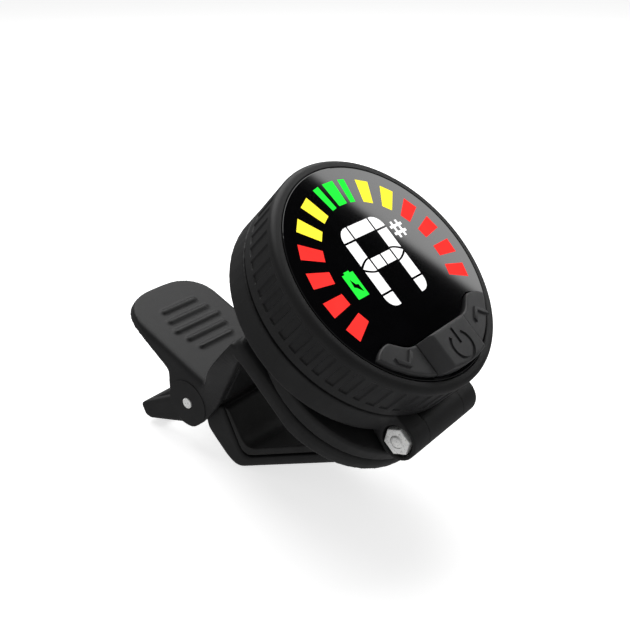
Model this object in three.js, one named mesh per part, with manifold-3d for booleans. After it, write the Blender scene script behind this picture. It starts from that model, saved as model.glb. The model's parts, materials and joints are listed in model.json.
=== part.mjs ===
// A clip-on instrument tuner: a round display head that tilts on a hinge, a swivel base that turns
// on the clip, and a spring clip with a padded lower jaw. Millimetres, +Z up.
//
// Everything is drawn in the display frame: the origin is the middle of the window's face, +Z is the
// window's outward normal and +X points at the keys and the tilt hinge. The clip's plate is parallel
// to the window, so the clip is drawn in the same frame. The whole object is then leaned forward to
// the attitude in which it stands on the jaw's heel and the lever's tip.
import * as THREE from "three";
import { mergeVertices } from "three/addons/utils/BufferGeometryUtils.js";
import Module from "manifold-3d";

const wasm = await Module();
wasm.setup();

// ---------------------------------------------------------------- driving dimensions
const GAP = 0.3; // clearance kept between neighbouring pieces
const WINDOW_RADIUS = 18.5;
const LEAN = THREE.MathUtils.degToRad(42.2); // window normal from the vertical

const HEAD = {
  rimRadius: 20.2, // grip ring
  shellRadius: 20.35, // rear shell
  ringBottom: -8.0,
  shellBottom: -13.1,
  wall: 1.6,
  floor: 1.5,
  windowThickness: 0.6,
};
const HINGE = { x: 21.1, z: -11.1, radius: 3.15, earOuter: 9.1, earInner: 5.0, barrelHalf: 4.7, bolt: 1.0 };
const BASE = { x: 6.85, radius: 17.25, top: -14.6, bottom: -17.35, hub: 4.0 };
const PLATE = { top: -17.65, bottom: -20.5, radius: 17.5, rear: -5.2, halfWidth: 17.2 };
const PIVOT = { x: -5.0, z: -47.2, pin: 1.0 };
const ARM = { halfWidth: 9.9, wall: 1.4, slope: THREE.MathUtils.degToRad(19.3) };
const JAW = { halfWidth: 8.2, wall: 1.65 };

// ---------------------------------------------------------------- finishes
const finish = (color, roughness, metalness = 0) =>
  new THREE.MeshStandardMaterial({ color, roughness, metalness });
const FINISH = {
  shell: finish(0x1c1c1d, 0.55),
  clip: finish(0x1e1e1f, 0.6),
  rubber: finish(0x161616, 0.75),
  window: finish(0x050506, 0.06),
  key: finish(0x242425, 0.5),
  panel: finish(0x08080a, 0.4),
  steel: finish(0xc9cbcc, 0.28, 1),
  board: finish(0x0f4a2a, 0.5),
  copper: finish(0xb08d57, 0.35, 1),
  foil: finish(0xb9bcc0, 0.35, 0.8),
  nylon: finish(0xd9d6cc, 0.6),
};

// ---------------------------------------------------------------- solids

// A closed geometry as a manifold-3d solid, turned face out if it was drawn face in.
function solid(geometry) {
  const bare = geometry.index ? geometry.toNonIndexed() : geometry.clone();
  bare.deleteAttribute("normal");
  bare.deleteAttribute("uv");
  const merged = mergeVertices(bare, 1e-4);
  const triVerts = new Uint32Array(merged.index.array);
  const vertProperties = merged.attributes.position.array;
  const build = () => new wasm.Manifold(new wasm.Mesh({ numProp: 3, vertProperties, triVerts }));
  const made = build();
  if (made.volume() >= 0) return made;
  for (let i = 0; i < triVerts.length; i += 3)
    [triVerts[i + 1], triVerts[i + 2]] = [triVerts[i + 2], triVerts[i + 1]];
  return build();
}

const join = (first, ...others) => others.reduce((sum, other) => sum.add(other), first);
const cut = (first, ...tools) => tools.reduce((rest, tool) => rest.subtract(tool), first);

// A solid back as a geometry with flat-shaded faces.
function geometryOf(made) {
  const { vertProperties, triVerts, numProp } = made.getMesh();
  const position = new Float32Array((vertProperties.length / numProp) * 3);
  for (let i = 0; i < position.length / 3; i++)
    position.set(vertProperties.subarray(i * numProp, i * numProp + 3), i * 3);
  const geometry = new THREE.BufferGeometry();
  geometry.setAttribute("position", new THREE.BufferAttribute(position, 3));
  geometry.setIndex(new THREE.BufferAttribute(new Uint32Array(triVerts), 1));
  geometry.computeVertexNormals();
  return geometry;
}

// A solid of revolution about the display frame's Z axis, from [radius, z] points.
function turned(profile, segments = 56, x = 0) {
  const points = profile.map(([radius, z]) => new THREE.Vector2(radius, z));
  return solid(new THREE.LatheGeometry(points, segments).rotateX(Math.PI / 2).translate(x, 0, 0));
}

const disc = (radius, bottom, top, segments = 56, x = 0) =>
  turned([[0, bottom], [radius, bottom], [radius, top], [0, top]], segments, x);

const ring = (inner, outer, bottom, top, segments = 56, x = 0) =>
  turned([[inner, bottom], [outer, bottom], [outer, top], [inner, top], [inner, bottom]], segments, x);

// A plan outline (x, y) raised from bottom to top, with an optional rounded edge.
function raised(shape, bottom, top, edge = 0, curveSegments = 10) {
  const geometry = new THREE.ExtrudeGeometry(shape, {
    depth: top - bottom - 2 * edge,
    bevelEnabled: edge > 0,
    bevelSize: edge,
    bevelThickness: edge,
    bevelOffset: -edge,
    bevelSegments: 2,
    curveSegments,
  });
  return solid(geometry.translate(0, 0, bottom + edge));
}

// A side outline (x, z) spread across the object from yLow to yHigh, with an optional rounded edge.
function spread(shape, yLow, yHigh, edge = 0, curveSegments = 5) {
  const geometry = new THREE.ExtrudeGeometry(shape, {
    depth: yHigh - yLow - 2 * edge,
    bevelEnabled: edge > 0,
    bevelSize: edge,
    bevelThickness: edge,
    bevelOffset: -edge,
    bevelSegments: 2,
    curveSegments,
  });
  return solid(geometry.rotateX(Math.PI / 2).translate(0, yHigh - edge, 0));
}

const box = (x0, x1, y0, y1, z0, z1) =>
  solid(new THREE.BoxGeometry(x1 - x0, y1 - y0, z1 - z0).translate((x0 + x1) / 2, (y0 + y1) / 2, (z0 + z1) / 2));

// A cylinder lying along Y.
const crossRod = (x, z, radius, y0, y1, sides = 32) =>
  solid(new THREE.CylinderGeometry(radius, radius, y1 - y0, sides).translate(x, (y0 + y1) / 2, z));

// Both mirror images of what a function makes for the near side (-1) and the far side (+1).
const pair = (make) => join(make(-1), make(1));

// A closed polygon through corners, each corner rounded by its own radius.
function rounded(corners) {
  const shape = new THREE.Shape();
  const count = corners.length;
  corners.forEach(([x, z, radius = 0], i) => {
    const here = new THREE.Vector2(x, z);
    const before = new THREE.Vector2(...corners[(i + count - 1) % count].slice(0, 2));
    const after = new THREE.Vector2(...corners[(i + 1) % count].slice(0, 2));
    const back = before.sub(here).normalize();
    const ahead = after.sub(here).normalize();
    const half = Math.acos(THREE.MathUtils.clamp(back.dot(ahead), -1, 1)) / 2;
    const reach = radius / Math.tan(half);
    const start = here.clone().addScaledVector(back, reach);
    const end = here.clone().addScaledVector(ahead, reach);
    if (i === 0) shape.moveTo(start.x, start.y);
    else shape.lineTo(start.x, start.y);
    if (radius > 0) shape.quadraticCurveTo(here.x, here.y, end.x, end.y);
  });
  shape.closePath();
  return shape;
}

// ---------------------------------------------------------------- scene graph
const tuner = new THREE.Group();
const leaning = new THREE.Group();
leaning.rotation.y = LEAN;
tuner.add(leaning);
const clip = new THREE.Group();
const lowerJaw = new THREE.Group();
const swivelBase = new THREE.Group();
const head = new THREE.Group();
leaning.add(clip, lowerJaw, swivelBase, head);

function place(group, name, made, material) {
  const mesh = new THREE.Mesh(geometryOf(made), material);
  mesh.name = name;
  group.add(mesh);
}

// ---------------------------------------------------------------- display head
// The keys fill a crescent at the window's edge: straight beside the power key, higher at its ends.
const KEYPAD = { straight: 11.5, endX: 9.2, endY: 10.8, outer: 17.9, powerHalf: 6.1, powerTop: 2.3 };

function keypadOutline(grow) {
  const { straight, endX, endY, outer } = KEYPAD;
  const rim = outer + grow;
  const left = straight - grow;
  const corner = endX - grow;
  const tipAngle = Math.atan2(14.6 + grow, 10.5);
  const shape = new THREE.Shape();
  shape.moveTo(left, 0);
  shape.lineTo(left, 5.6);
  shape.bezierCurveTo(left, 8.4, corner + 1.4, 8.8, corner, endY);
  shape.quadraticCurveTo(corner - 0.2, 12.9, rim * Math.cos(tipAngle), rim * Math.sin(tipAngle));
  shape.absarc(0, 0, rim, tipAngle, -tipAngle, true);
  shape.quadraticCurveTo(corner - 0.2, -12.9, corner, -endY);
  shape.bezierCurveTo(corner + 1.4, -8.8, left, -8.4, left, -5.6);
  shape.closePath();
  return shape;
}

function makeWindow() {
  const pane = disc(WINDOW_RADIUS, -HEAD.windowThickness, 0, 64);
  return cut(pane, raised(keypadOutline(GAP), -2, 1));
}

function makeGripRing() {
  const { rimRadius, ringBottom } = HEAD;
  const lip = WINDOW_RADIUS + GAP;
  const profile = [
    [lip, -0.05], [lip, -0.9], [17.6, -0.9], [17.6, -1.9], [18.7, -1.9], [18.7, ringBottom],
    [rimRadius - 0.25, ringBottom], [rimRadius, ringBottom + 0.5], [rimRadius, -1.5],
    [rimRadius - 0.35, -0.6], [rimRadius - 0.9, -0.05], [lip, -0.05],
  ];
  return cut(turned(profile, 64), raised(keypadOutline(GAP), -1.95, 1));
}

// Each key is a slice of the crescent; the power key stands prouder than its neighbours.
function makeKey(yLow, yHigh, top) {
  const slice = box(6, 20, yLow, yHigh, -3, 4);
  return raised(keypadOutline(0), -1.6, top, 0.25).intersect(slice);
}

// Its flanks slope, and its top widens towards the rim.
function makePowerKey() {
  const { powerHalf: half, powerTop: top } = KEYPAD;
  const flanks = rounded([
    [-half, -1.6], [half, -1.6], [half, 0.35], [4.3, top, 0.5], [-4.3, top, 0.5], [-half, 0.35],
  ]);
  const wedge = solid(
    new THREE.ExtrudeGeometry(flanks, { depth: 12, bevelEnabled: false, curveSegments: 3 })
      .rotateX(Math.PI / 2)
      .rotateZ(Math.PI / 2)
      .translate(9, 0, 0),
  );
  return raised(keypadOutline(0), -1.6, top, 0.35).intersect(wedge);
}

function makeRearShell() {
  const { shellRadius, shellBottom, ringBottom, wall, floor } = HEAD;
  const top = ringBottom - GAP;
  const outside = turned([
    [0, shellBottom], [shellRadius - 0.5, shellBottom], [shellRadius, shellBottom + 0.5],
    [shellRadius - 0.1, top], [0, top],
  ], 64);
  const cavity = disc(shellRadius - wall, shellBottom + floor, top + 1, 56);
  const hingeBlock = box(15.6, 22, -HINGE.earOuter, HINGE.earOuter, shellBottom, top);
  const { x, z, radius } = HINGE;
  const web = rounded([[15, -13.4], [x, z - radius], [x, z + radius], [15, top - 0.1]]);
  const ears = pair((side) => {
    const span = [side * HINGE.earInner, side * HINGE.earOuter].sort((a, b) => a - b);
    return join(crossRod(HINGE.x, HINGE.z, HINGE.radius, ...span, 40), spread(web, ...span));
  });
  const shell = cut(outside, cut(cavity, hingeBlock));
  const barrelRoom = crossRod(HINGE.x, HINGE.z, HINGE.radius + 0.5, -HINGE.earInner, HINGE.earInner, 40);
  const front = box(17.4, 30, -HINGE.earInner, HINGE.earInner, -20, 0);
  return cut(
    join(cut(shell, barrelRoom, front), ears),
    crossRod(HINGE.x, HINGE.z, HINGE.bolt + 0.05, -12, 12, 24),
    disc(17.9, shellBottom + floor, top + 1, 48).intersect(box(-20, 14.5, -20, 20, -12, 0)),
    crossRod(HINGE.x, HINGE.z, 2.6, -10, -HINGE.earOuter + 1.2, 24),
    crossRod(HINGE.x, HINGE.z, 2.3, HINGE.earOuter - 1.5, 10, 24),
    portOpening(),
    ...SCREW_SPOTS.map(([x, y]) => screwHole(x, y)),
  );
}

// Three screws come up through the rear shell's floor.
const SCREW_SPOTS = [[-14.6, 0], [6.4, -13.6], [6.4, 13.6]];
const screwHole = (x, y) =>
  join(disc(1.65, -14, -11.95, 20).translate([x, y, 0]), disc(0.9, -14, -9, 16).translate([x, y, 0]));

const makeCaseScrew = (x, y) =>
  turned([
    [0, -12.95], [1.35, -12.95], [1.35, -12.25], [0.6, -12.25], [0.6, -9.6], [0, -9.6],
  ], 16).translate([x, y, 0]);

// A charging socket in the far side of the shell.
const PORT = { half: 4.4, z: -10.05, high: 2.6 };
function portOutline(grow) {
  const { half, z, high } = PORT;
  const radius = high / 2 + grow - 0.01;
  const low = z - high / 2 - grow;
  const top = z + high / 2 + grow;
  const side = half + grow;
  return rounded([[-side, low, radius], [side, low, radius], [side, top, radius], [-side, top, radius]]);
}
const portOpening = () => spread(portOutline(GAP), 16.5, 22);
function makePort() {
  return cut(spread(portOutline(0), 14.2, 19.6), spread(portOutline(-0.45), 15, 22));
}

function makeBattery() {
  const pouch = rounded([[-10.5, -8, 1.5], [9, -8, 1.5], [9, 8, 1.5], [-10.5, 8, 1.5]]);
  return raised(pouch, -10.6, -6.6, 0.8, 3);
}

function makeSwitch(x, y) {
  return join(
    box(x - 1.6, x + 1.6, y - 1.4, y + 1.4, -4.1, -3.1),
    disc(0.9, -3.2, -2.1, 16).translate([x, y, 0]),
  );
}

const nutHex = (radius, y0, y1) => crossRod(HINGE.x, HINGE.z, radius, y0, y1, 6);

place(head, "window", makeWindow(), FINISH.window);
place(head, "grip_ring", makeGripRing(), FINISH.shell);
place(head, "rear_shell", makeRearShell(), FINISH.shell);
place(head, "display_panel", cut(disc(17.2, -1.9, -0.95, 56), raised(keypadOutline(GAP), -3, 1)), FINISH.panel);
place(head, "backlight_plate", cut(disc(17.0, -3.0, -2.2, 48), box(10.6, 20, -20, 20, -5, 1)), FINISH.nylon);
place(head, "main_board", disc(17.6, -5.4, -4.4, 48), FINISH.board);
place(head, "battery_cell", makeBattery(), FINISH.foil);
place(head, "vibration_sensor", disc(5.5, -11.3, -10.9, 32).translate([-3, 0, 0]), FINISH.copper);
place(head, "charging_socket", makePort(), FINISH.steel);
const KEY_SPLIT = KEYPAD.powerHalf + GAP;
place(head, "down_key", makeKey(-20, -KEY_SPLIT, 0.6), FINISH.key);
place(head, "power_key", makePowerKey(), FINISH.key);
place(head, "up_key", makeKey(KEY_SPLIT, 20, 0.6), FINISH.key);
place(head, "down_switch", makeSwitch(12.9, -8.6), FINISH.steel);
place(head, "power_switch", makeSwitch(14.2, 0), FINISH.steel);
place(head, "up_switch", makeSwitch(12.9, 8.6), FINISH.steel);
SCREW_SPOTS.forEach(([x, y], i) => place(head, `case_screw_${i + 1}`, makeCaseScrew(x, y), FINISH.steel));
place(
  head,
  "hinge_bolt",
  join(
    crossRod(HINGE.x, HINGE.z, HINGE.bolt, -9.75, HINGE.earOuter - 0.3, 24),
    crossRod(HINGE.x, HINGE.z, 2.0, HINGE.earOuter - 1.2, HINGE.earOuter - 0.1, 24),
  ),
  FINISH.steel,
);
place(
  head,
  "hinge_nut",
  cut(nutHex(2.31, -9.35, -8.2), crossRod(HINGE.x, HINGE.z, HINGE.bolt + 0.05, -12, -8, 24)),
  FINISH.steel,
);

// ---------------------------------------------------------------- swivel base
function makeSwivelBase() {
  const { x, radius, top, bottom, hub } = BASE;
  const plinth = turned([
    [0, bottom], [radius - 0.2, bottom], [radius, bottom + 0.2], [radius, top - 0.3], [radius - 0.3, top], [0, top],
  ], 64, x);
  const { barrelHalf } = HINGE;
  const riser = disc(radius, top - 0.5, -12.1, 64, x).intersect(box(15.2, 30, -barrelHalf, barrelHalf, -20, 0));
  const headRoom = disc(HEAD.shellRadius + GAP, HEAD.shellBottom - GAP, 0, 64);
  const barrel = crossRod(HINGE.x, HINGE.z, HINGE.radius, -barrelHalf, barrelHalf, 40);
  const foot = box(HINGE.x - 1.9, HINGE.x + HINGE.radius, -barrelHalf, barrelHalf, top - 0.5, HINGE.z);
  const footFront = disc(radius, top - 0.5, HINGE.z, 64, x);
  const post = disc(hub, -18.9, bottom + 0.1, 40, x);
  return cut(
    join(plinth, cut(riser, headRoom), foot.intersect(footFront), barrel, post),
    crossRod(HINGE.x, HINGE.z, HINGE.bolt + 0.05, -12, 12, 24),
    disc(1.0, -21, -15.4, 20, x),
  );
}

place(swivelBase, "swivel_base", makeSwivelBase(), FINISH.shell);
place(swivelBase, "swivel_washer", ring(1.3, 5.4, -19.55, -19.2, 40, BASE.x), FINISH.steel);
place(
  swivelBase,
  "swivel_screw",
  join(disc(2.2, -20.4, -19.85, 24, BASE.x), disc(0.95, -19.9, -15.8, 16, BASE.x)),
  FINISH.steel,
);

// ---------------------------------------------------------------- clip body
// The paddle's top face: its height at x, and the frame of the sloping face.
const PADDLE = { x: -18.7, z: -44.8, rear: -27.5, corner: 8.5 };
const paddleTop = (x) => PADDLE.z + Math.tan(ARM.slope) * (x - PADDLE.x);

function plateOutline() {
  const { radius, rear, halfWidth: half } = PLATE;
  const corner = 2.2;
  const arc = Math.asin(half / radius);
  const shape = new THREE.Shape();
  shape.moveTo(rear + corner, -half);
  shape.lineTo(BASE.x + radius * Math.cos(arc), -half);
  shape.absarc(BASE.x, 0, radius, -arc, arc, false);
  shape.lineTo(rear + corner, half);
  shape.quadraticCurveTo(rear, half, rear, half - corner);
  shape.lineTo(rear, -half + corner);
  shape.quadraticCurveTo(rear, -half, rear + corner, -half);
  return shape;
}

// The neck narrows in a curve from the plate's width to the arm's, its front edge before its rear.
// Each row is a height, where the front edge is, and the half widths there and at the rear.
const NECK = [
  [-19.4, -2.5, 17.2, 17.2],
  [-22.0, -2.4, 16.5, 17.2],
  [-25.6, -2.25, 14.8, 16.9],
  [-29.2, -2.1, 13.2, 16.0],
  [-32.8, -1.85, 12.0, 14.3],
  [-36.4, -1.45, 11.0, 12.2],
  [-40.0, -0.95, 10.2, 10.5],
  [-43.0, -0.7, 9.9, 9.9],
  [-46.0, -0.5, 9.9, 9.9],
];
const NECK_STEPS = 32;

// With an inset it is the channel's inside, whose walls run on past the front.
function neckLoft(inset) {
  const ahead = inset > 0 ? 5 : 0;
  const curve = (points) => new THREE.CatmullRomCurve3(points, false, "catmullrom", 0.5);
  const frontEdge = curve(NECK.map(([z, front, frontHalf, rearHalf]) => {
    const taper = (rearHalf - frontHalf) / (front - PLATE.rear);
    return new THREE.Vector3(front + ahead, frontHalf - inset - ahead * taper, z);
  }));
  const rearEdge = curve(NECK.map(([z, front, frontHalf, rearHalf]) => {
    const taper = (rearHalf - frontHalf) / (front - PLATE.rear);
    return new THREE.Vector3(PLATE.rear + inset, rearHalf - inset - inset * taper, z);
  }));
  const position = [];
  const index = [];
  for (let step = 0; step <= NECK_STEPS; step++) {
    const fore = frontEdge.getPoint(step / NECK_STEPS);
    const aft = rearEdge.getPoint(step / NECK_STEPS);
    position.push(aft.x, -aft.y, aft.z, fore.x, -fore.y, fore.z, fore.x, fore.y, fore.z, aft.x, aft.y, aft.z);
    if (step === NECK_STEPS) break;
    for (let i = 0; i < 4; i++) {
      const a = step * 4 + i;
      const b = step * 4 + ((i + 1) % 4);
      index.push(a, b, b + 4, a, b + 4, a + 4);
    }
  }
  const last = NECK_STEPS * 4;
  index.push(0, 2, 1, 0, 3, 2, last, last + 1, last + 2, last, last + 2, last + 3);
  const geometry = new THREE.BufferGeometry();
  geometry.setAttribute("position", new THREE.Float32BufferAttribute(position, 3));
  geometry.setIndex(index);
  return solid(geometry);
}

// The neck is a channel with a narrower core inside, which hides the spring; a slot runs down each side.
const CORE_HALF = 7.9;

function makeUpperArm() {
  const { halfWidth, wall } = ARM;
  const front = -0.5;
  const side = rounded([
    [-27.9, -49.7, 0.5], [-20.2, -47.5, 4], [-11.8, -46.5, 1.5], [-9.7, -49.0, 1.5], [-7.2, -51.6, 1.5],
    [-3.4, -52.2, 3], [-0.9, -50.2, 3], [front, -45.6], [-0.9, -40.2], [PLATE.rear, paddleTop(PLATE.rear)],
    [-28.1, paddleTop(-28.1), 0.6],
  ]);
  const under = rounded([
    [-30, paddleTop(-30) - wall], [PLATE.rear + 0.4, paddleTop(PLATE.rear + 0.4) - wall - 0.3],
    [PLATE.rear + wall, -38], [4, -38], [4, -60], [-30, -60],
  ]);
  const outline = rounded([
    [PADDLE.rear, -halfWidth, PADDLE.corner], [6, -halfWidth],
    [6, halfWidth], [PADDLE.rear, halfWidth, PADDLE.corner],
  ]);
  const inline = rounded([
    [PADDLE.rear + wall, -halfWidth + wall, PADDLE.corner - wall], [6, -halfWidth + wall],
    [6, halfWidth - wall], [PADDLE.rear + wall, halfWidth - wall, PADDLE.corner - wall],
  ]);
  const channel = spread(side, -halfWidth, halfWidth).intersect(raised(outline, -60, -30)).intersect(softEdges());
  const hollow = spread(under, -12, 12).intersect(raised(inline, -62, -30));
  const plate = join(
    raised(plateOutline(), PLATE.bottom, PLATE.top, 1.1),
    raised(plateOutline(), PLATE.bottom, PLATE.bottom + 1.2),
  );
  const core = spread(
    rounded([[-4.4, -26], [-4.4, -42.3], [-2.6, -42.2], [-1.0, -40.7, 0.4], [-3.4, -31.4], [-4.0, -26]]),
    -CORE_HALF,
    CORE_HALF,
  );
  const throatSide = box(PLATE.rear + wall, 6, -halfWidth + wall, halfWidth - wall, -48, -36);
  const grips = gripRibs();
  return cut(
    join(plate, cut(join(neckLoft(0), channel), neckLoft(wall + 0.1), hollow, throatSide), core, grips),
    crossRod(PIVOT.x, PIVOT.z, PIVOT.pin + 0.05, -12, 12, 24),
    disc(BASE.hub + GAP, -22, -17, 40, BASE.x),
    disc(6.0, -22, -18.8, 40, BASE.x),
    cut(raised(padOutline(GAP), -22, UPPER_PAD.top + GAP, 0, 4), disc(6.0, -23, -18, 40, BASE.x)),
  );
}

// A bar along the paddle's slope whose two upper edges are rounded.
function softEdges() {
  const half = ARM.halfWidth;
  const section = rounded([[-half, -40], [half, -40], [half, 0, 1.2], [-half, 0, 1.2]]);
  const geometry = new THREE.ExtrudeGeometry(section, { depth: 60, bevelEnabled: false, curveSegments: 5 });
  geometry.rotateX(Math.PI / 2).rotateZ(Math.PI / 2).translate(-30, 0, 0);
  return solid(geometry.rotateY(-ARM.slope).translate(PADDLE.x, 0, PADDLE.z));
}

// Plain raised ribs across the paddle, for the thumb.
function gripRibs() {
  const ribs = [0, 1, 2, 3, 4].map((i) => {
    const x = -21.6 + i * 2.4;
    const long = 10.4 - Math.abs(i - 2) * 1.4;
    const rod = new THREE.CapsuleGeometry(0.55, long, 3, 8).scale(1, 1, 0.8);
    return solid(rod.translate(x, 0, paddleTop(x) + 0.02));
  });
  return join(...ribs);
}

const UPPER_PAD = { rear: 1.0, front: 21.4, half: 7.6, top: -19.75, bottom: -20.95, hole: 6.3 };
const padOutline = (grow) => {
  const { rear, front, half } = UPPER_PAD;
  const [near, far, side] = [rear - grow, front + grow, half + grow];
  return rounded([[near, -side, 1.5], [far, -side, 2.5], [far, side, 2.5], [near, side, 1.5]]);
};

function makeUpperPad() {
  const { bottom, top, hole } = UPPER_PAD;
  return cut(raised(padOutline(0), bottom, top, 0, 4), disc(hole, -22, -19, 40, BASE.x));
}

// A torsion spring round the pivot pin: a leg under the paddle, the coil, and a short end.
function makeSpring() {
  const turns = 5;
  const radius = 2.1;
  const pitch = 1.1;
  const stepsPerTurn = 14;
  const points = [];
  const startAngle = Math.PI / 2;
  const total = turns * stepsPerTurn;
  const start = -(turns * pitch) / 2;
  const at = (angle, y, r = radius) =>
    new THREE.Vector3(PIVOT.x + r * Math.cos(angle), y, PIVOT.z + r * Math.sin(angle));
  const tangent = new THREE.Vector3(-Math.sin(startAngle), 0, Math.cos(startAngle));
  for (const back of [8.4, 6.2, 4.2, 2.2])
    points.push(at(startAngle, start).addScaledVector(tangent, back));
  for (let i = 0; i <= total; i++)
    points.push(at(startAngle - (i / stepsPerTurn) * 2 * Math.PI, start + (i / total) * turns * pitch));
  return wire(points, 0.35, total + 16);
}

function wire(points, radius, steps) {
  const section = new THREE.Shape();
  const sides = 6;
  for (let i = 0; i < sides; i++) {
    const angle = (i / sides) * 2 * Math.PI;
    const [x, y] = [radius * Math.cos(angle), radius * Math.sin(angle)];
    if (i === 0) section.moveTo(x, y);
    else section.lineTo(x, y);
  }
  section.closePath();
  const extrudePath = new THREE.CatmullRomCurve3(points, false, "centripetal");
  return solid(new THREE.ExtrudeGeometry(section, { steps, bevelEnabled: false, extrudePath }));
}

place(clip, "upper_arm", makeUpperArm(), FINISH.clip);
place(clip, "upper_pad", makeUpperPad(), FINISH.rubber);
place(clip, "pivot_pin", crossRod(PIVOT.x, PIVOT.z, PIVOT.pin, -10.1, 10.1, 24), FINISH.steel);
place(clip, "torsion_spring", makeSpring(), FINISH.steel);

// ---------------------------------------------------------------- lower jaw
// Inner face of the jaw: down its back, round the heel, and up the front wall to the tip.
const FRONT = THREE.MathUtils.degToRad(67.4);
const HEEL = { x: 8.7, z: -45.5 };
const TIP = 24.6; // length of the front wall's inner face, heel to tip
const frontWall = (up, out) => [
  HEEL.x + up * Math.cos(FRONT) + out * Math.sin(FRONT),
  HEEL.z + up * Math.sin(FRONT) - out * Math.cos(FRONT),
];

function makeLowerJaw() {
  const { halfWidth, wall } = JAW;
  const ear = 2.0;
  const body = rounded([
    [-0.6, -41.9, 0.6], [HEEL.x, HEEL.z, 2.6], [...frontWall(TIP, 0), 0.45], [...frontWall(TIP, wall), 0.45],
    [...frontWall(-2.4, wall), 3.2], [6.4, -48.85, 2.4], [-1.0, -48.7, 3], [-1.8, -43.2, 1],
  ]);
  const lever = rounded([
    [-1.9, -50.6, 1], [-3.05, -53.6, 2], [-8.45, -62.45, 1], [-9.65, -63.15, 0.8], [-12.05, -62.25, 0.8],
    [-8.4, -52.6, 1], [-8.8, -48, 1],
    [-7, -43.6, 2], [-2, -43.2, 1.5], [-0.5, -46, 0.9],
  ]);
  const leverGap = rounded([
    [-14, -60.2], [-6.4, -60.6, 0.3], [-2.0, -52.6, 0.5], [0.2, -49.4], [-0.6, -42], [-14, -42],
  ]);
  const rails = cut(
    spread(lever, -halfWidth, halfWidth, 0.3, 4),
    spread(leverGap, -halfWidth + ear, halfWidth - ear, 0, 3),
  );
  const springRoom = crossRod(PIVOT.x, PIVOT.z, 4.3, -halfWidth + ear, halfWidth - ear, 32);
  return cut(
    join(spread(body, -halfWidth, halfWidth, 0.3, 4), rails),
    springRoom,
    crossRod(PIVOT.x, PIVOT.z, PIVOT.pin + 0.06, -12, 12, 24),
  );
}

// A rubber liner over the jaw's inner face, folded over the tip.
function makeJawPad() {
  const skin = -GAP - 1.3;
  const liner = rounded([
    [-0.4, -41.6, 0], [HEEL.x - 0.2, HEEL.z + 0.38, 2.5], frontWall(TIP + GAP, -GAP), frontWall(TIP + GAP, JAW.wall),
    [20.3, -21.25], [17.0, -21.25, 0.8], [...frontWall(TIP - 3.4, skin), 1],
    [...frontWall(1.7, skin), 2.8], [0.6, -41.0, 0.8],
  ]);
  return spread(liner, -JAW.halfWidth + 0.2, JAW.halfWidth - 0.2, 0, 5);
}

place(lowerJaw, "lower_jaw", makeLowerJaw(), FINISH.clip);
place(lowerJaw, "jaw_pad", makeJawPad(), FINISH.rubber);
const springLeg = [[-7.3, -49.2], [-8.3, -54], [-9.9, -59.7]].map(([x, z]) => new THREE.Vector3(x, 2.9, z));
place(lowerJaw, "spring_leg", wire(springLeg, 0.35, 4), FINISH.steel);

// ---------------------------------------------------------------- stand it on its lowest points
const extent = new THREE.Box3().setFromObject(tuner, true);
const middle = extent.getCenter(new THREE.Vector3());
leaning.position.set(-middle.x, -middle.y, -extent.min.z);

export default tuner;
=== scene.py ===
"""Clip-on tuner: the looks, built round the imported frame.

Shapes are drawn in millimetres in the display frame: the origin is the middle of the window's face,
+Z is the window's outward normal and +X points at the keys and the tilt hinge. TO_ROW carries them
into the frame's own metres.
"""
import json
import math

import bmesh
import bpy
from mathutils import Matrix, Vector


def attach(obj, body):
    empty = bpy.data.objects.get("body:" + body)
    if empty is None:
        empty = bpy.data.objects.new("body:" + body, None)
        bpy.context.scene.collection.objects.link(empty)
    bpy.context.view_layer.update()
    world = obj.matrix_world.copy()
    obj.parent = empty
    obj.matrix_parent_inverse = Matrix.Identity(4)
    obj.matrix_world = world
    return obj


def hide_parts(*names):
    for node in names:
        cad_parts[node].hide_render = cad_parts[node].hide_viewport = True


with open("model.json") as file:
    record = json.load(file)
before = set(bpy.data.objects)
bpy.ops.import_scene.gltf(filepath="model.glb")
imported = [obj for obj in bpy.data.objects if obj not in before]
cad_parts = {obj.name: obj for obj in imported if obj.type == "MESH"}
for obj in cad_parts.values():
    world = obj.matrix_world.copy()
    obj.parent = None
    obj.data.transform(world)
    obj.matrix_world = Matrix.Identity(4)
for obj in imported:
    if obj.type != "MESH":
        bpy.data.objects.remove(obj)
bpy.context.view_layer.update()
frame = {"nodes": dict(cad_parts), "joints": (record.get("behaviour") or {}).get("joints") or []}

# ---------------------------------------------------------------- the display frame
JOINTS = {joint["name"]: joint for joint in frame["joints"]}
NORMAL = JOINTS["swivel_turn"]["axis"]
LEAN = math.atan2(NORMAL[0], NORMAL[2])
HINGE = Vector((21.1, 0.0, -11.1))
HINGE_AXIS = (HINGE.x, HINGE.z)
HINGE_RADIUS = 3.15
HINGE_BORE = 1.4
EAR_FACE = 4.99
BARREL_HALF = 4.9
PIVOT = (-5.0, -47.2)
TO_ROW = (
    Matrix.Translation(JOINTS["head_tilt"]["pos_m"])
    @ Matrix.Rotation(LEAN, 4, "Y")
    @ Matrix.Scale(0.001, 4)
    @ Matrix.Translation(-HINGE)
)
TO_DISPLAY = TO_ROW.inverted()

WINDOW_RADIUS = 18.5
WINDOW_BOTTOM = -0.6
KEY_GAP = 0.18
KEYPAD_FLOOR = -2.3


# ---------------------------------------------------------------- materials
def new_material(name):
    material = bpy.data.materials.new(name)
    material.use_nodes = True
    tree = material.node_tree
    return material, tree, tree.nodes["Principled BSDF"]


def noise(tree, scale, detail=2.0, rough=0.5):
    """Noise in the object's own metres; scale is features per metre."""
    coords = tree.nodes.new("ShaderNodeTexCoord")
    texture = tree.nodes.new("ShaderNodeTexNoise")
    texture.inputs["Scale"].default_value = scale
    texture.inputs["Detail"].default_value = detail
    texture.inputs["Roughness"].default_value = rough
    tree.links.new(coords.outputs["Object"], texture.inputs["Vector"])
    return texture


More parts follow.
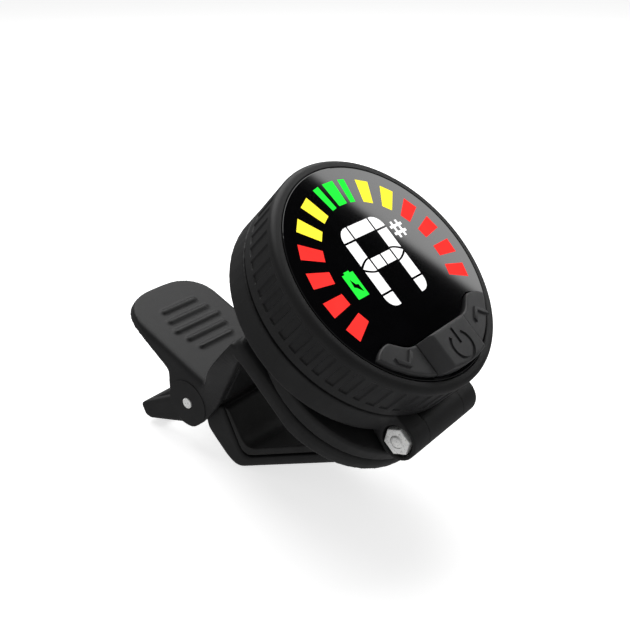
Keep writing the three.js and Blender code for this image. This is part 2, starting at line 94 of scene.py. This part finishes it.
def ramp(tree, source, low, high, start=0.35, stop=0.65):
    """A ramp from one grey or colour to another, driven by a texture."""
    node = tree.nodes.new("ShaderNodeValToRGB")
    node.color_ramp.elements[0].position = start
    node.color_ramp.elements[1].position = stop
    node.color_ramp.elements[0].color = low
    node.color_ramp.elements[1].color = high
    tree.links.new(source, node.inputs["Fac"])
    return node


UNIT_GREY = (1.0, 1.0, 1.0)


def shade(colour, gain):
    return (colour[0] * gain, colour[1] * gain, colour[2] * gain, 1.0)


def moulded(name, colour, roughness, grain=9000.0, depth=0.000012, spread=0.12, sheen=0.0):
    """Moulded plastic or rubber: a fine spark-eroded grain over a faint mottle."""
    material, tree, shader = new_material(name)
    mottle = noise(tree, 260.0, 3.0)
    tone = ramp(tree, mottle.outputs["Fac"], shade(colour, 1 - spread), shade(colour, 1 + spread))
    tree.links.new(tone.outputs["Color"], shader.inputs["Base Color"])
    fine = noise(tree, grain, 2.0, 0.6)
    dull, bright = shade(UNIT_GREY, roughness + 0.06), shade(UNIT_GREY, roughness - 0.06)
    gloss = ramp(tree, fine.outputs["Fac"], bright, dull)
    tree.links.new(gloss.outputs["Color"], shader.inputs["Roughness"])
    bump = tree.nodes.new("ShaderNodeBump")
    bump.inputs["Strength"].default_value = 0.35
    bump.inputs["Distance"].default_value = depth
    tree.links.new(fine.outputs["Fac"], bump.inputs["Height"])
    tree.links.new(bump.outputs["Normal"], shader.inputs["Normal"])
    shader.inputs["Specular IOR Level"].default_value = 0.32
    shader.inputs["Sheen Weight"].default_value = sheen
    return material


def metal(name, colour, roughness, brush=2500.0, metallic=1.0):
    """Metal with faint tool marks; a satin plating is less metallic than a drawn wire."""
    material, tree, shader = new_material(name)
    marks = noise(tree, brush, 4.0, 0.7)
    tone = ramp(tree, marks.outputs["Fac"], shade(colour, 0.88), shade(colour, 1.05))
    tree.links.new(tone.outputs["Color"], shader.inputs["Base Color"])
    dull, bright = shade(UNIT_GREY, roughness * 1.3), shade(UNIT_GREY, roughness * 0.8)
    gloss = ramp(tree, marks.outputs["Fac"], bright, dull)
    tree.links.new(gloss.outputs["Color"], shader.inputs["Roughness"])
    shader.inputs["Metallic"].default_value = metallic
    return material


def glossy(name, colour, roughness=0.05):
    """The window's hard, polished face, with the slightest haze."""
    material, tree, shader = new_material(name)
    haze = noise(tree, 400.0, 2.0)
    tone = ramp(tree, haze.outputs["Fac"], shade(colour, 0.9), shade(colour, 1.1))
    tree.links.new(tone.outputs["Color"], shader.inputs["Base Color"])
    shader.inputs["Roughness"].default_value = roughness
    shader.inputs["Specular IOR Level"].default_value = 0.5
    return material


def lit(name, colour, strength):
    """A lit part of the display, with no sheen of its own to wash its colour out."""
    material, tree, shader = new_material(name)
    glow = noise(tree, 500.0, 1.0)
    tone = ramp(tree, glow.outputs["Fac"], shade(colour, 0.93), shade(colour, 1.0))
    tree.links.new(tone.outputs["Color"], shader.inputs["Base Color"])
    tree.links.new(tone.outputs["Color"], shader.inputs["Emission Color"])
    shader.inputs["Emission Strength"].default_value = strength
    shader.inputs["Specular IOR Level"].default_value = 0.0
    return material


CASE = moulded("case plastic", (0.0095, 0.0095, 0.0099), 0.5)
CLIP = moulded("clip plastic", (0.010, 0.010, 0.0104), 0.5)
RUBBER = moulded("pad rubber", (0.008, 0.008, 0.008), 0.66, grain=5000.0, spread=0.2, sheen=0.05)
KEYS = moulded("key rubber", (0.034, 0.034, 0.035), 0.42, grain=7000.0)
STEEL = metal("plated steel", (0.86, 0.86, 0.85), 0.3, metallic=0.3)
WIRE = metal("spring wire", (0.5, 0.5, 0.51), 0.3)
NICKEL = metal("dark nickel", (0.32, 0.32, 0.33), 0.35)
WINDOW = glossy("window", (0.003, 0.003, 0.0035))
RED = lit("red light", (1.0, 0.035, 0.03), 0.75)
YELLOW = lit("yellow light", (1.0, 0.86, 0.05), 0.8)
GREEN = lit("green light", (0.02, 0.88, 0.05), 0.8)
WHITE = lit("white light", (0.95, 0.95, 0.95), 0.75)
DIFFUSER = moulded("diffuser", (0.75, 0.73, 0.7), 0.5)
BOARD = moulded("circuit board", (0.02, 0.16, 0.07), 0.35)
FOIL = metal("battery foil", (0.72, 0.73, 0.75), 0.35)
BRASS = metal("sensor brass", (0.75, 0.55, 0.28), 0.3)
PANEL = glossy("panel", (0.01, 0.01, 0.012), 0.3)


# ---------------------------------------------------------------- mesh tools
def link(name, mesh):
    piece = bpy.data.objects.new(name, mesh)
    bpy.context.scene.collection.objects.link(piece)
    return piece


def bake_modifiers(piece):
    """The piece's own mesh becomes what its modifiers make of it."""
    graph = bpy.context.evaluated_depsgraph_get()
    made = bpy.data.meshes.new_from_object(piece.evaluated_get(graph))
    piece.modifiers.clear()
    piece.data = made
    return piece


def soften(mesh, angle):
    """Smooth shading, with edges sharper than the angle left crisp."""
    work = bmesh.new()
    work.from_mesh(mesh)
    for face in work.faces:
        face.smooth = True
    for edge in work.edges:
        edge.smooth = len(edge.link_faces) == 2 and edge.calc_face_angle(0.0) < math.radians(angle)
    work.to_mesh(mesh)
    work.free()


def settle(piece, body, material, nodes=(), angle=32.0):
    """Places a piece drawn in the display frame: its body, finish and the CAD nodes it stands for."""
    piece.data.transform(TO_ROW)
    soften(piece.data, angle)
    piece.data.materials.clear()
    piece.data.materials.append(material)
    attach(piece, body)
    if nodes:
        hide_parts(*nodes)
    return piece


def mesh_from(name, points, faces):
    mesh = bpy.data.meshes.new(name)
    mesh.from_pydata(points, [], faces)
    work = bmesh.new()
    work.from_mesh(mesh)
    bmesh.ops.recalc_face_normals(work, faces=work.faces)
    work.to_mesh(mesh)
    work.free()
    return mesh


def turned(name, profile, steps, radius_at=None, x=0.0):
    """A ring turned about Z from a closed [radius, z] profile; radius_at may carve it by angle."""
    points = []
    for step in range(steps):
        angle = 2 * math.pi * step / steps
        for radius, z in profile:
            r = radius_at(radius, z, angle) if radius_at else radius
            points.append((x + r * math.cos(angle), r * math.sin(angle), z))
    count = len(profile)
    faces = []
    for step in range(steps):
        here, ahead = step * count, ((step + 1) % steps) * count
        for i in range(count):
            j = (i + 1) % count
            faces.append((here + i, ahead + i, ahead + j, here + j))
    return mesh_from(name, points, faces)


def slab(name, outline, low, high, edge=0.0, segments=2):
    """A plan outline raised from low to high, with a bevelled rim."""
    work = bmesh.new()
    base = work.faces.new([work.verts.new((x, y, low)) for x, y in outline])
    top = bmesh.ops.extrude_face_region(work, geom=[base])
    lifted = [item for item in top["geom"] if isinstance(item, bmesh.types.BMVert)]
    bmesh.ops.translate(work, verts=lifted, vec=(0, 0, high - low))
    bmesh.ops.recalc_face_normals(work, faces=work.faces)
    if edge > 0:
        rim = [e for e in work.edges if all(abs(v.co.z - high) < 1e-6 for v in e.verts)]
        bmesh.ops.bevel(work, geom=rim, offset=edge, segments=segments, affect="EDGES", profile=0.5)
    mesh = bpy.data.meshes.new(name)
    work.to_mesh(mesh)
    work.free()
    return mesh


def boolean(piece, tool, operation="DIFFERENCE"):
    modifier = piece.modifiers.new("boolean", "BOOLEAN")
    modifier.object = tool
    modifier.operation = operation
    modifier.solver = "EXACT"
    bake_modifiers(piece)
    bpy.data.objects.remove(tool)
    return piece


def remoulded(name, node, voxel=0.22, passes=6, keep=0.35):
    """A CAD node with its edges eased the way a mould leaves them."""
    mesh = frame["nodes"][node].data.copy()
    mesh.transform(TO_DISPLAY)
    piece = link(name, mesh)
    remesh = piece.modifiers.new("remesh", "REMESH")
    remesh.mode = "VOXEL"
    remesh.voxel_size = voxel
    ease = piece.modifiers.new("ease", "SMOOTH")
    ease.factor = 0.5
    ease.iterations = passes
    thin = piece.modifiers.new("thin", "DECIMATE")
    thin.ratio = keep
    return bake_modifiers(piece)


def arc(radius, start, stop, steps, centre=(0.0, 0.0)):
    """Points along an arc, in degrees from +X towards +Y."""
    angles = [math.radians(start + (stop - start) * i / steps) for i in range(steps + 1)]
    return [(centre[0] + radius * math.cos(a), centre[1] + radius * math.sin(a)) for a in angles]


def circle(radius, steps):
    return arc(radius, 0, 360, steps)[:-1]


# ---------------------------------------------------------------- keypad outline
KEY_STRAIGHT = 11.4
KEY_CREST = 9.1
KEY_RIM = 17.9
KEY_TIP_ANGLE = 54.0


def bezier(a, b, c, d, steps=10):
    points = []
    for i in range(1, steps + 1):
        t = i / steps
        u = 1 - t
        points.append(tuple(
            u ** 3 * a[k] + 3 * u * u * t * b[k] + 3 * u * t * t * c[k] + t ** 3 * d[k] for k in (0, 1)
        ))
    return points


def keypad_outline(grow=0.0):
    """The crescent of keys: straight beside the power key, cresting outboard, round along the rim."""
    left, crest, rim = KEY_STRAIGHT - grow, KEY_CREST - grow, KEY_RIM + grow
    tip = math.radians(KEY_TIP_ANGLE)
    corner = (rim * math.cos(tip), rim * math.sin(tip))
    side = bezier((left, 6.0), (left, 8.3), (crest, 8.9), (crest, 11.6))
    side += bezier((crest, 11.6), (crest, 12.9), (corner[0] - 0.9, corner[1] - 1.2), corner, 6)
    half = [(left, 0.0), (left, 3.0), (left, 6.0)] + side
    half += arc(rim, KEY_TIP_ANGLE, 0.0, 24)[1:]
    mirrored = [(x, -y) for x, y in reversed(half[1:-1])]
    return half + mirrored


def cutter(name, outline, low, high):
    return link(name, slab(name, outline, low, high))


# ---------------------------------------------------------------- display head
def make_window():
    rim = 0.12
    piece = link("display_window", slab("display_window", circle(WINDOW_RADIUS, 144), WINDOW_BOTTOM, 0.0, rim))
    boolean(piece, cutter("keypad_gap", keypad_outline(KEY_GAP), -2, 2))
    settle(piece, "head", WINDOW, ["window"], 12.0)


BAR_INNER, BAR_OUTER = 12.05, 16.25
BARS = [(0.0, 4.4, GREEN), (10.95, 2.5, GREEN)]
BARS += [(angle, 4.45, YELLOW) for angle in (26.0, 43.4)]
BARS += [(angle, 4.5, RED) for angle in (60.25, 77.1, 94.3, 110.9)]
LIGHT_ROOT = -0.05
LIGHT_TOP = 0.012
FLASH_TOP = LIGHT_TOP + 0.008


def light(name, outline, material):
    """One lit shape, a film's thickness proud of the window's face."""
    piece = link(name, slab(name, outline, LIGHT_ROOT, LIGHT_TOP))
    settle(piece, "head", material)


def make_bars():
    count = 0
    for angle, half, material in BARS:
        for side in ((1,) if angle == 0 else (1, -1)):
            count += 1
            low, high = 180 + side * angle - half, 180 + side * angle + half
            outline = arc(BAR_OUTER, low, high, 1) + arc(BAR_INNER, high, low, 1)
            light(f"scale_bar_{count}", outline, material)


def mirror(outline):
    return [(x, -y) for x, y in reversed(outline)]


def make_note():
    """The note letter, in thirteen segments, with a sharp sign beside it."""
    top, bottom = -8.6, 5.3
    outer, inner, mid = 5.2, 2.8, -1.75
    bar = 2.2
    corner = [(top + bar, outer)] + [
        (top + bar - bar * math.sin(a), outer - bar * (1 - math.cos(a)))
        for a in [math.radians(15 * i) for i in range(1, 7)]
    ] + [(top, inner), (top + bar, inner)]
    foot = [(bottom - 2.2, outer)] + [(bottom - 2.2, inner), (bottom, inner), (bottom, inner + 0.6)] + [
        (bottom - 1.9 + 1.9 * math.cos(a), inner + 0.6 + 1.8 * math.sin(a))
        for a in [math.radians(15 * i) for i in range(1, 7)]
    ]
    upper = [(top + bar + 0.35, outer), (top + bar + 0.35, inner), (mid - 1.35, inner)] + [
        (mid - 1.35 + 0.85 * (i / 4) ** 1.6, inner + (outer - inner) * i / 4) for i in range(1, 5)
    ]
    lower = [(2 * mid - x, y) for x, y in reversed(upper[2:])]
    lower += [(bottom - 2.55, inner), (bottom - 2.55, outer)]
    reach = 1.05
    eye = [(mid + reach, inner), (mid - reach, inner)] + [
        (mid - reach + reach * (i / 4) ** 1.6, inner + (outer - inner) * i / 4) for i in range(1, 5)
    ] + [
        (mid + reach - reach * (i / 4) ** 1.6, inner + (outer - inner) * i / 4) for i in range(3, 0, -1)
    ]
    sides = {"corner": corner, "foot": foot, "upper": upper, "lower": lower, "eye": eye}
    for label, outline in sides.items():
        light(f"note_{label}_right", outline, WHITE)
        light(f"note_{label}_left", mirror(outline), WHITE)
    wide, split, waist = 2.45, 0.17, 0.95
    light("note_crown", [(top, -wide), (top, wide), (top + bar, wide), (top + bar, -wide)], WHITE)
    high, low = mid - waist, mid + waist
    for label, y0, y1 in (("left", -wide, -split), ("right", split, wide)):
        light(f"note_waist_{label}", [(high, y0), (high, y1), (low, y1), (low, y0)], WHITE)
    make_sharp()


def make_sharp():
    centre, reach, gap, half = (-5.05, 7.4), 1.5, 0.62, 0.24
    cx, cy = centre
    for label, offset in (("a", -gap), ("b", gap)):
        light(f"sharp_upright_{label}", [
            (cx - reach, cy + offset - half), (cx - reach, cy + offset + half),
            (cx + reach, cy + offset + half), (cx + reach, cy + offset - half),
        ], WHITE)
        light(f"sharp_bar_{label}", [
            (cx + offset - half, cy - reach), (cx + offset - half, cy + reach),
            (cx + offset + half, cy + reach), (cx + offset + half, cy - reach),
        ], WHITE)


def make_battery_sign():
    """A lit battery with a dark charging flash laid on it."""
    low, high, left, right = 1.85, -2.25, -9.85, -7.35
    cap, cap_left, cap_right = high - 0.35, -9.2, -8.05
    body = [
        (high, left), (high, cap_left), (cap, cap_left), (cap, cap_right), (high, cap_right),
        (high, right), (low, right), (low, left),
    ]
    light("battery_sign", body, GREEN)
    flash = [(-1.35, -8.95), (-0.35, -8.45), (-0.2, -7.95), (1.15, -7.85), (0.2, -8.75), (0.0, -9.15)]
    piece = link("battery_flash", slab("battery_flash", flash, 0.0, FLASH_TOP))
    settle(piece, "head", WINDOW)


RIBS = 55
STEPS_PER_RIB = 12
RIM_RADIUS = 20.2
RIM_ROUND = 0.95
RING_BOTTOM = -8.0
POCKET_SHARE = 0.5
POCKET_DEPTH = 0.2
POCKET_TOP = -1.35
POCKET_FLOOR = -6.3


def rib_radius(radius, z, angle):
    """Grip ribs: shallow square pockets round the wall, closed at the rim and near the foot."""
    turn = (angle / (2 * math.pi) * RIBS) % 1.0
    floor = RIM_RADIUS - POCKET_DEPTH
    if radius < floor or not POCKET_FLOOR < z < POCKET_TOP or turn > POCKET_SHARE:
        return radius
    return floor


def make_grip_ring():
    lip = WINDOW_RADIUS + 0.1
    rim = [
        (RIM_RADIUS - RIM_ROUND + RIM_ROUND * math.sin(a), -0.98 + RIM_ROUND * math.cos(a))
        for a in [math.radians(degrees) for degrees in range(0, 91, 15)]
    ]
    wall = [(RIM_RADIUS, z) for z in (
        POCKET_TOP, POCKET_TOP - 0.3, -3.0, -5.0, POCKET_FLOOR + 0.06, POCKET_FLOOR - 0.04, -7.4,
    )]
    foot = [(RIM_RADIUS, -7.8), (RIM_RADIUS - 0.2, RING_BOTTOM)]
    profile = [(lip, -0.75), (lip, -0.12), (lip + 0.12, -0.03)] + rim + wall + foot
    profile += [(18.7, RING_BOTTOM), (18.7, -1.9), (17.7, -1.9), (17.7, -0.9), (lip, -0.9)]
    piece = link("grip_ring_fine", turned("grip_ring_fine", profile, RIBS * STEPS_PER_RIB, rib_radius))
    boolean(piece, cutter("keypad_gap", keypad_outline(KEY_GAP), KEYPAD_FLOOR, 2))
    settle(piece, "head", CASE, ["grip_ring"], 28.0)


def cross_ring(name, centre, inner, outer, y0, y1):
    """A ring whose axis lies along Y."""
    piece = link(name, slab(name, circle(outer, 72), y0, y1))
    boolean(piece, cutter("bore", circle(inner, 48), y0 - 1, y1 + 1))
    piece.data.transform(
        Matrix.Translation((centre[0], 0, centre[1])) @ Matrix.Rotation(math.radians(-90), 4, "X")
    )
    return piece


def make_rear_shell():
    """The shell's ears keep crisp faces beside the barrel, so the seams stay fine."""
    piece = remoulded("rear_shell_fine", "rear_shell", 0.2, 5, 0.4)
    for name, y0, y1 in (("near_ear", -7.7, -EAR_FACE), ("far_ear", EAR_FACE, 7.4)):
        boolean(piece, cross_ring(name, HINGE_AXIS, HINGE_BORE, HINGE_RADIUS, y0, y1), "UNION")
    settle(piece, "head", CASE, ["rear_shell"], 40.0)


SIDE_KEY_TOP = 0.6
POWER_KEY_TOP = 2.3
POWER_X = 15.2
LEGEND_X = 12.6
LEGEND_Y = 10.05
LEGEND_DEPTH = 0.3
LEGEND_ROOT = 0.4
LEGEND_EDGE = 0.05


def chevron(x, y, point):
    """A chevron's outline; point is -1 for up the display and +1 for down."""
    half, tall, stroke = 1.75, 1.5, 0.75
    tip, wing = x + point * (tall + stroke) / 2, x - point * (tall - stroke) / 2
    back = point * stroke
    outline = [
        (tip, y), (wing, y + half), (wing - back, y + half),
        (tip - back, y), (wing - back, y - half), (wing, y - half),
    ]
    return outline if point > 0 else list(reversed(outline))


def engrave(piece, outline, top):
    """Sinks an outline into a key's top face."""
    return boolean(piece, cutter("legend", outline, top - LEGEND_DEPTH, top + 1))


def emboss(piece, outline, top):
    """Raises an outline from a key's top face."""
    raised = link("legend", slab("legend", outline, top - LEGEND_ROOT, top + LEGEND_DEPTH, LEGEND_EDGE))
    return boolean(piece, raised, "UNION")


def make_keys():
    for side, name in ((-1, "down"), (1, "up")):
        piece = remoulded(f"{name}_key_fine", f"{name}_key", 0.11, 5, 0.5)
        emboss(piece, chevron(LEGEND_X, side * LEGEND_Y, -side), SIDE_KEY_TOP)
        settle(piece, f"{name}_button", KEYS, [f"{name}_key"], 40.0)
    piece = remoulded("power_key_fine", "power_key", 0.11, 5, 0.5)
    outer, inner, half, sweep, centre = 2.5, 1.92, 0.29, 143, (POWER_X, 0)
    ring = arc(outer, -sweep, sweep, 40, centre) + arc(inner, sweep, -sweep, 40, centre)
    engrave(piece, ring, POWER_KEY_TOP)
    bar_start, bar_end = 12.3, 14.9
    bar = [(bar_start, -half), (bar_end, -half), (bar_end, half), (bar_start, half)]
    engrave(piece, bar, POWER_KEY_TOP)
    settle(piece, "power_button", KEYS, ["power_key"], 40.0)


def make_nut():
    corner_radius, thick, bore, edge = 2.31, 1.15, 1.06, 0.18
    middle, drop = -8.52, 0.1
    outline = circle(corner_radius, 6)
    piece = link("hex_nut", slab("hex_nut", outline, -thick / 2, thick / 2, edge, 3))
    boolean(piece, cutter("nut_bore", circle(bore, 40), -2, 2))
    place = Matrix.Translation((HINGE.x, middle, HINGE.z - drop))
    piece.data.transform(place @ Matrix.Rotation(math.radians(90), 4, "X"))
    settle(piece, "head", STEEL, ["hinge_nut"])


def make_bolt():
    """The bolt's domed end stands just proud of the nut; its pan head is sunk in the far ear."""
    end = [(0.0, -9.5), (0.45, -9.47), (0.8, -9.35), (1.0, -9.1)]
    profile = end + [(1.0, 7.9), (2.0, 7.9), (2.0, 8.75), (1.7, 9.0), (0.0, 9.0)]
    steps = 40
    count = len(profile)
    points = []
    faces = []
    for step in range(steps):
        angle = 2 * math.pi * step / steps
        points += [(HINGE.x + r * math.cos(angle), y, HINGE.z + r * math.sin(angle)) for r, y in profile]
        here, ahead = step * count, ((step + 1) % steps) * count
        faces += [(here + i, ahead + i, ahead + i + 1, here + i + 1) for i in range(count - 1)]
    mesh = mesh_from("hinge_bolt_fine", points, faces)
    work = bmesh.new()
    work.from_mesh(mesh)
    bmesh.ops.remove_doubles(work, verts=work.verts, dist=1e-5)
    bmesh.ops.recalc_face_normals(work, faces=work.faces)
    work.to_mesh(mesh)
    work.free()
    settle(link("hinge_bolt_fine", mesh), "head", STEEL, ["hinge_bolt"])


# ---------------------------------------------------------------- base, clip and jaw
def make_clip():
    """The barrel and the pivot's bosses stay crisp on pieces whose other edges are eased."""
    base = remoulded("swivel_base_fine", "swivel_base", 0.2, 4, 0.4)
    barrel = cross_ring("barrel", HINGE_AXIS, HINGE_BORE, HINGE_RADIUS, -BARREL_HALF, BARREL_HALF)
    boolean(base, barrel, "UNION")
    settle(base, "swivel", CLIP, ["swivel_base"], 40.0)
    arm = remoulded("upper_arm_fine", "upper_arm", 0.25, 5, 0.4)
    boss_bore, boss_radius = 1.15, 4.4
    for y0, y1 in ((-10.0, -9.0), (9.0, 10.0)):
        boolean(arm, cross_ring("pivot_boss", PIVOT, boss_bore, boss_radius, y0, y1), "UNION")
    settle(arm, "clip", CLIP, ["upper_arm"], 40.0)
    jaw = remoulded("lower_jaw_fine", "lower_jaw", 0.25, 6, 0.4)
    settle(jaw, "jaw", CLIP, ["lower_jaw"], 50.0)
    pad = remoulded("jaw_pad_fine", "jaw_pad", 0.2, 5, 0.4)
    settle(pad, "jaw", RUBBER, ["jaw_pad"], 50.0)


def dress_cad_nodes():
    """CAD nodes that stay as they are get their finishes."""
    finishes = {
        STEEL: ["pivot_pin", "swivel_washer"],
        NICKEL: ["swivel_screw", "charging_socket", "case_screw_1", "case_screw_2", "case_screw_3",
                 "down_switch", "power_switch", "up_switch"],
        WIRE: ["torsion_spring", "spring_leg"],
        RUBBER: ["upper_pad"],
        DIFFUSER: ["backlight_plate"],
        BOARD: ["main_board"],
        FOIL: ["battery_cell"],
        BRASS: ["vibration_sensor"],
        PANEL: ["display_panel"],
    }
    for material, nodes in finishes.items():
        for node in nodes:
            mesh = frame["nodes"][node].data
            mesh.materials.clear()
            mesh.materials.append(material)


# ---------------------------------------------------------------- camera, floor and light
EYE = Vector((15.915, -101.118, 80.479))
CAMERA_AZIMUTH = math.radians(38.4)
CAMERA_DROP = math.radians(25.2)
SURROUND_STRENGTH = 0.24
BACKDROP_STRENGTH = 1.0
FLOOR_GLOW = 0.7
CARD_GLOW = 3.6
KEY_LIGHT_PLACE = (-0.18, 0.14, 0.42)
KEY_LIGHT_TARGET = (0.0, 0.0, 0.02)
KEY_LIGHT_SIZE = (0.5, 0.5)
KEY_LIGHT_POWER = 2.0


def aim(thing, place, target):
    thing.location = place
    thing.rotation_euler = (Vector(target) - Vector(place)).to_track_quat("-Z", "Y").to_euler()


def make_camera():
    """A camera with no roll, turned and tipped by the two angles above."""
    data = bpy.data.cameras.new("camera")
    data.lens = 50.0
    data.sensor_width = 36.0
    data.clip_start = 0.001
    camera = bpy.data.objects.new("camera", data)
    bpy.context.scene.collection.objects.link(camera)
    camera.location = TO_ROW @ EYE
    camera.rotation_euler = (math.pi / 2 - CAMERA_DROP, 0.0, CAMERA_AZIMUTH)
    bpy.context.scene.camera = camera


def make_floor():
    mesh = bpy.data.meshes.new("floor")
    half = 1.5
    corners = [(-half, -half, 0), (half, -half, 0), (half, half, 0), (-half, half, 0)]
    mesh.from_pydata(corners, [], [(0, 1, 2, 3)])
    floor = link("floor", mesh)
    material, tree, shader = new_material("floor")
    shader.inputs["Base Color"].default_value = (0.9, 0.9, 0.9, 1)
    shader.inputs["Roughness"].default_value = 0.8
    shader.inputs["Specular IOR Level"].default_value = 0.1
    shader.inputs["Emission Color"].default_value = (1, 1, 1, 1)
    shader.inputs["Emission Strength"].default_value = FLOOR_GLOW
    mesh.materials.append(material)
    floor.visible_glossy = False


def make_reflection_card():
    """A card overhead, dark on one side and bright on the other, which the window mirrors."""
    start = Vector((-18.0, -2.0, 0.0))
    along, across = Vector((0.878, 0.477, 0.0)), Vector((-0.477, 0.878, 0.0))
    distance = 3.0
    mirrored_eye = Vector((EYE.x, EYE.y, -EYE.z))
    corners = []
    for u, v in ((-40, -40), (70, -40), (70, 40), (-40, 40)):
        seen_at = start + along * u + across * v
        corners.append(mirrored_eye + (seen_at - mirrored_eye) * distance)
    mesh = bpy.data.meshes.new("reflection_card")
    mesh.from_pydata(corners, [], [(0, 1, 2, 3)])
    layer = mesh.uv_layers.new(name="across")
    for loop, v in zip(layer.data, (0.0, 0.0, 1.0, 1.0)):
        loop.uv = (0.0, v)
    mesh.transform(TO_ROW)
    card = link("reflection_card", mesh)
    material, tree, shader = new_material("reflection card")
    coords = tree.nodes.new("ShaderNodeTexCoord")
    split = tree.nodes.new("ShaderNodeSeparateXYZ")
    tree.links.new(coords.outputs["UV"], split.inputs["Vector"])
    glow = ramp(tree, split.outputs["Y"], (0, 0, 0, 1), (1, 1, 1, 1), 0.495, 0.515)
    shader.inputs["Base Color"].default_value = (0, 0, 0, 1)
    shader.inputs["Specular IOR Level"].default_value = 0.0
    tree.links.new(glow.outputs["Color"], shader.inputs["Emission Color"])
    shader.inputs["Emission Strength"].default_value = CARD_GLOW
    mesh.materials.append(material)
    card.visible_camera = False
    card.visible_diffuse = False
    card.visible_shadow = False


def area(name, place, target, size, power):
    data = bpy.data.lights.new(name, "AREA")
    data.shape = "RECTANGLE"
    data.size, data.size_y = size
    data.energy = power
    lamp = bpy.data.objects.new(name, data)
    bpy.context.scene.collection.objects.link(lamp)
    aim(lamp, place, target)


def make_light():
    """A dim grey surround that reads as white behind the object, and a key from behind the upper left."""
    world = bpy.data.worlds.new("studio")
    world.use_nodes = True
    tree = world.node_tree
    sky = tree.nodes["Background"]
    sky.inputs["Color"].default_value = (1, 1, 1, 1)
    path = tree.nodes.new("ShaderNodeLightPath")
    strength = tree.nodes.new("ShaderNodeMapRange")
    strength.inputs["To Min"].default_value = SURROUND_STRENGTH
    strength.inputs["To Max"].default_value = BACKDROP_STRENGTH
    tree.links.new(path.outputs["Is Camera Ray"], strength.inputs["Value"])
    tree.links.new(strength.outputs["Result"], sky.inputs["Strength"])
    bpy.context.scene.world = world
    area("key", KEY_LIGHT_PLACE, KEY_LIGHT_TARGET, KEY_LIGHT_SIZE, KEY_LIGHT_POWER)
    bpy.context.scene.view_settings.view_transform = "Standard"


make_camera()
make_window()
make_bars()
make_note()
make_battery_sign()
make_grip_ring()
make_rear_shell()
make_keys()
make_nut()
make_bolt()
make_clip()
dress_cad_nodes()
make_floor()
make_reflection_card()
make_light()
